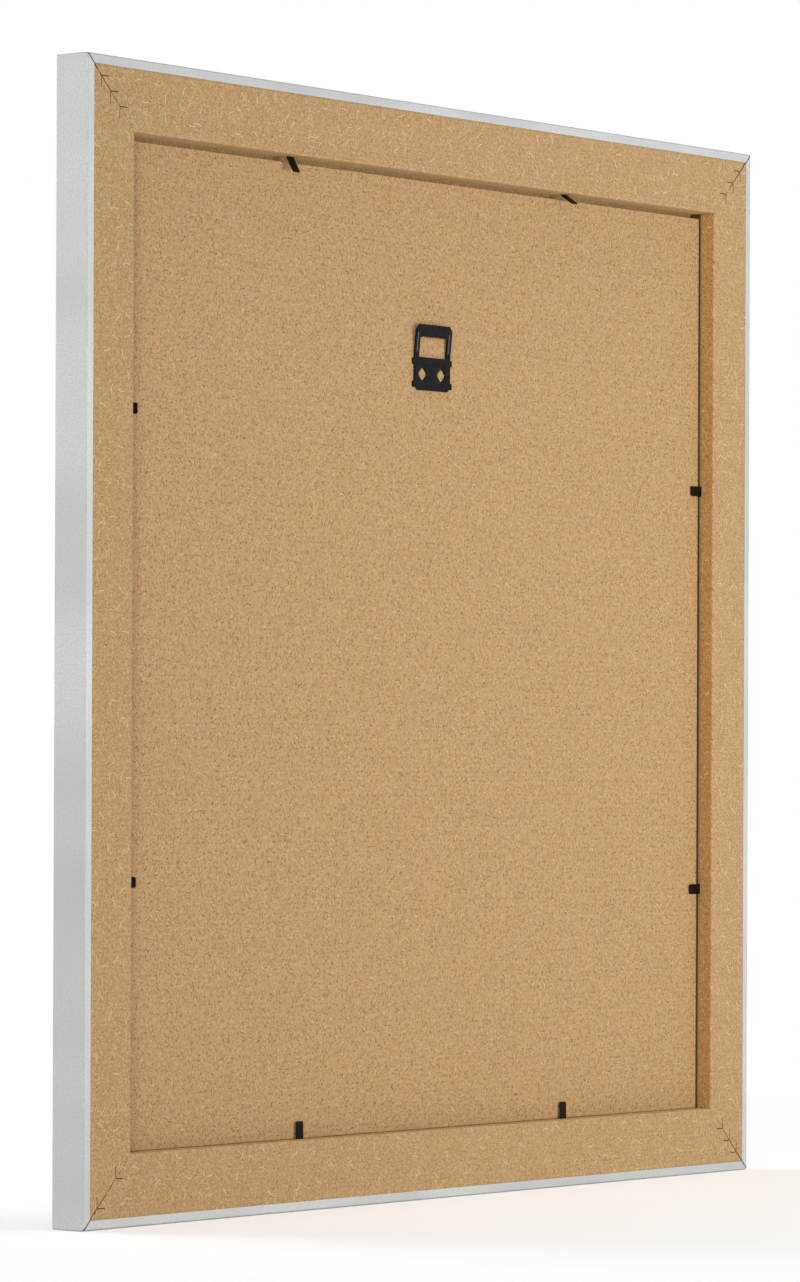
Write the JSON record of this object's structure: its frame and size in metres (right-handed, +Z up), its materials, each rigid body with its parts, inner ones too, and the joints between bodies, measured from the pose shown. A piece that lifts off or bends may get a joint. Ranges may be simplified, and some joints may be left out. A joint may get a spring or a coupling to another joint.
{
  "type": "picture frame",
  "caption": "Square wall picture frame with mitred, foil-wrapped MDF rails, glazing, insert sheet, back panel held by bendable points, and a toothed hanger.",
  "frame": {"origin": "the nail point: the hanger's tooth notch on the frame's centre line, moved straight back to the wall plane", "axes": "+Z up as hung, +Y towards the wall (the back), -Y the picture side, +X to the left as seen from behind"},
  "size_m": [0.572, 0.0206, 0.572],
  "materials": {
    "mdf": "bare machined MDF, yellowish tan with pale fibres",
    "silver_foil": "satin silver decor foil",
    "nail_steel": "dark bright-cut steel strip",
    "flex_steel": "dark oiled spring strip",
    "clear_glass": "clear float glass",
    "plain_paper": "plain off-white paper board",
    "fibreboard": "smooth thin fibreboard, warm brown with fine mottle",
    "black_steel": "black coated stamped steel"
  },
  "bodies": {
    "frame": {"rail_top": "mdf", "rail_bottom": "mdf", "rail_left": "mdf", "rail_right": "mdf", "foil_top": "silver_foil", "foil_bottom": "silver_foil", "foil_left": "silver_foil", "foil_right": "silver_foil", "v_nail_top_left_1": "nail_steel", "v_nail_top_left_2": "nail_steel", "v_nail_top_left_3": "nail_steel", "v_nail_top_right_1": "nail_steel", "v_nail_top_right_2": "nail_steel", "v_nail_top_right_3": "nail_steel", "v_nail_bottom_right_1": "nail_steel", "v_nail_bottom_right_2": "nail_steel", "v_nail_bottom_right_3": "nail_steel", "v_nail_bottom_left_1": "nail_steel", "v_nail_bottom_left_2": "nail_steel", "flex_shank_top_left": "flex_steel", "flex_shank_top_right": "flex_steel", "flex_shank_left_upper": "flex_steel", "flex_shank_left_lower": "flex_steel", "flex_shank_right_upper": "flex_steel", "flex_shank_right_lower": "flex_steel", "flex_shank_bottom_left": "flex_steel", "flex_shank_bottom_right": "flex_steel", "glazing": "clear_glass", "insert_sheet": "plain_paper", "back_panel": "fibreboard", "hanger": "black_steel"},
    "tab_top_left": {"flex_tab_top_left": "flex_steel"},
    "tab_top_right": {"flex_tab_top_right": "flex_steel"},
    "tab_left_upper": {"flex_tab_left_upper": "flex_steel"},
    "tab_left_lower": {"flex_tab_left_lower": "flex_steel"},
    "tab_right_upper": {"flex_tab_right_upper": "flex_steel"},
    "tab_right_lower": {"flex_tab_right_lower": "flex_steel"},
    "tab_bottom_left": {"flex_tab_bottom_left": "flex_steel"},
    "tab_bottom_right": {"flex_tab_bottom_right": "flex_steel"}
  },
  "joints": [
    {"name": "bend_top_left", "type": "hinge", "parent": "frame", "child": "tab_top_left", "pos_m": [0.1183, -0.0086, 0.0835], "axis": [1, 0, 0], "range_deg": [-33.5, 61]},
    {"name": "bend_top_right", "type": "hinge", "parent": "frame", "child": "tab_top_right", "pos_m": [-0.11905, -0.0086, 0.0835], "axis": [1, 0, 0], "range_deg": [-61.5, 33]},
    {"name": "bend_left_upper", "type": "hinge", "parent": "frame", "child": "tab_left_upper", "pos_m": [0.2496, -0.0086, -0.0505], "axis": [0, 0, -1], "range_deg": [-28.5, 66]},
    {"name": "bend_left_lower", "type": "hinge", "parent": "frame", "child": "tab_left_lower", "pos_m": [0.2496, -0.0086, -0.2835], "axis": [0, 0, -1], "range_deg": [-28.5, 66]},
    {"name": "bend_right_upper", "type": "hinge", "parent": "frame", "child": "tab_right_upper", "pos_m": [-0.2496, -0.0086, -0.0713], "axis": [0, 0, 1], "range_deg": [-1.5, 93]},
    {"name": "bend_right_lower", "type": "hinge", "parent": "frame", "child": "tab_right_lower", "pos_m": [-0.2496, -0.0086, -0.2937], "axis": [0, 0, 1], "range_deg": [-1.5, 93]},
    {"name": "bend_bottom_left", "type": "hinge", "parent": "frame", "child": "tab_bottom_left", "pos_m": [0.1076, -0.0086, -0.4157], "axis": [-1, 0, 0], "range_deg": [-3.5, 91]},
    {"name": "bend_bottom_right", "type": "hinge", "parent": "frame", "child": "tab_bottom_right", "pos_m": [-0.121, -0.0086, -0.4157], "axis": [-1, 0, 0], "range_deg": [-3.5, 91]}
  ]
}
